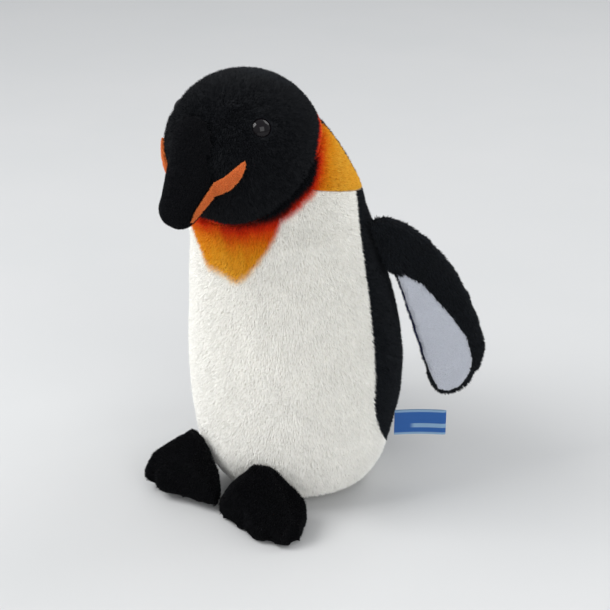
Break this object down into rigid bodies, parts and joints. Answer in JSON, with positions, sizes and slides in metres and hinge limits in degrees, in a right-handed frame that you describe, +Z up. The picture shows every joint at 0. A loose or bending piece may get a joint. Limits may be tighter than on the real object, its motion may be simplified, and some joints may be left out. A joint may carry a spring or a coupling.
{
  "type": "plush penguin",
  "caption": "Standing stuffed toy penguin with a black back and head, white belly, airbrushed orange bib, sewn-on flippers and feet, and glossy eyes.",
  "frame": {"origin": "centre of the round base panel's underside, where the toy stands", "axes": "+Z up; the penguin faces -Y; its own left flipper is on +X"},
  "size_m": [0.2166, 0.1984, 0.2873],
  "materials": {
    "white_plush": "short cream-white pile",
    "black_plush": "short black pile with a soft sheen",
    "gold_plush": "white pile airbrushed red, orange and gold",
    "beak_plush": "very short black pile",
    "stripe_plush": "very short salmon-orange pile",
    "foot_plush": "short black pile",
    "flipper_lining": "brushed pale lilac-grey knit",
    "eye_plastic": "high-gloss dark plastic",
    "washer_plastic": "white nylon",
    "label_ribbon": "woven satin ribbon with pale edges",
    "stuffing_fibre": "polyester fibre",
    "bag_cloth": "plain cotton",
    "pellet_plastic": "polyethylene pellets"
  },
  "bodies": {
    "torso": {"belly_panel": "white_plush", "back_panel_left": "black_plush", "back_panel_right": "black_plush", "base_panel": "white_plush", "collar": "gold_plush", "nape": "black_plush", "body_stuffing": "stuffing_fibre", "pellet_bag": "bag_cloth", "pellets": "pellet_plastic"},
    "head": {"head_gusset": "black_plush", "head_side_left": "black_plush", "head_side_right": "black_plush", "head_stuffing": "stuffing_fibre", "beak_upper": "beak_plush", "beak_lower": "beak_plush", "beak_stripe_left": "stripe_plush", "beak_stripe_right": "stripe_plush", "eye_left": "eye_plastic", "eye_right": "eye_plastic", "eye_washer_left": "washer_plastic", "eye_washer_right": "washer_plastic"},
    "flipper_left": {"flipper_outer_left": "black_plush", "flipper_lining_left": "flipper_lining", "flipper_wadding_left": "stuffing_fibre"},
    "flipper_right": {"flipper_outer_right": "black_plush", "flipper_lining_right": "flipper_lining", "flipper_wadding_right": "stuffing_fibre"},
    "foot_left": {"foot_top_left": "foot_plush", "foot_sole_left": "foot_plush", "foot_stuffing_left": "stuffing_fibre"},
    "foot_right": {"foot_top_right": "foot_plush", "foot_sole_right": "foot_plush", "foot_stuffing_right": "stuffing_fibre"},
    "tail": {"tail_top": "black_plush", "tail_under": "black_plush"},
    "label_tab": {"label": "label_ribbon"}
  },
  "joints": [
    {"name": "head_nod", "type": "hinge", "parent": "torso", "child": "head", "pos_m": [0, -0.047, 0.239], "axis": [1, 0, 0], "range_deg": [-12, 10], "stiffness_Nm_per_rad": 1.2},
    {"name": "flipper_left_swing", "type": "hinge", "parent": "torso", "child": "flipper_left", "pos_m": [0.0608, 0.0104, 0.1755], "axis": [-0.1165, -0.2924, 0.9492], "range_deg": [-50, 35], "stiffness_Nm_per_rad": 0.02},
    {"name": "flipper_right_swing", "type": "hinge", "parent": "torso", "child": "flipper_right", "pos_m": [-0.0608, 0.0104, 0.1755], "axis": [-0.1165, 0.2924, -0.9492], "range_deg": [-50, 35], "stiffness_Nm_per_rad": 0.02},
    {"name": "foot_left_flex", "type": "hinge", "parent": "torso", "child": "foot_left", "pos_m": [0.0295, -0.0659, 0.038], "axis": [-0.9135, -0.4067, 0], "range_deg": [0, 30], "stiffness_Nm_per_rad": 0.03},
    {"name": "foot_right_flex", "type": "hinge", "parent": "torso", "child": "foot_right", "pos_m": [-0.027, -0.0679, 0.042], "axis": [-0.9397, 0.342, 0], "range_deg": [0, 30], "stiffness_Nm_per_rad": 0.03},
    {"name": "tail_flex", "type": "hinge", "parent": "torso", "child": "tail", "pos_m": [0, 0.064, 0.017], "axis": [1, 0, 0], "range_deg": [-15, 45], "stiffness_Nm_per_rad": 0.006},
    {"name": "label_fold", "type": "hinge", "parent": "torso", "child": "label_tab", "pos_m": [0.0595, 0.0345, 0.041], "axis": [0, 0, 1], "range_deg": [-30, 60], "stiffness_Nm_per_rad": 0.0003}
  ]
}
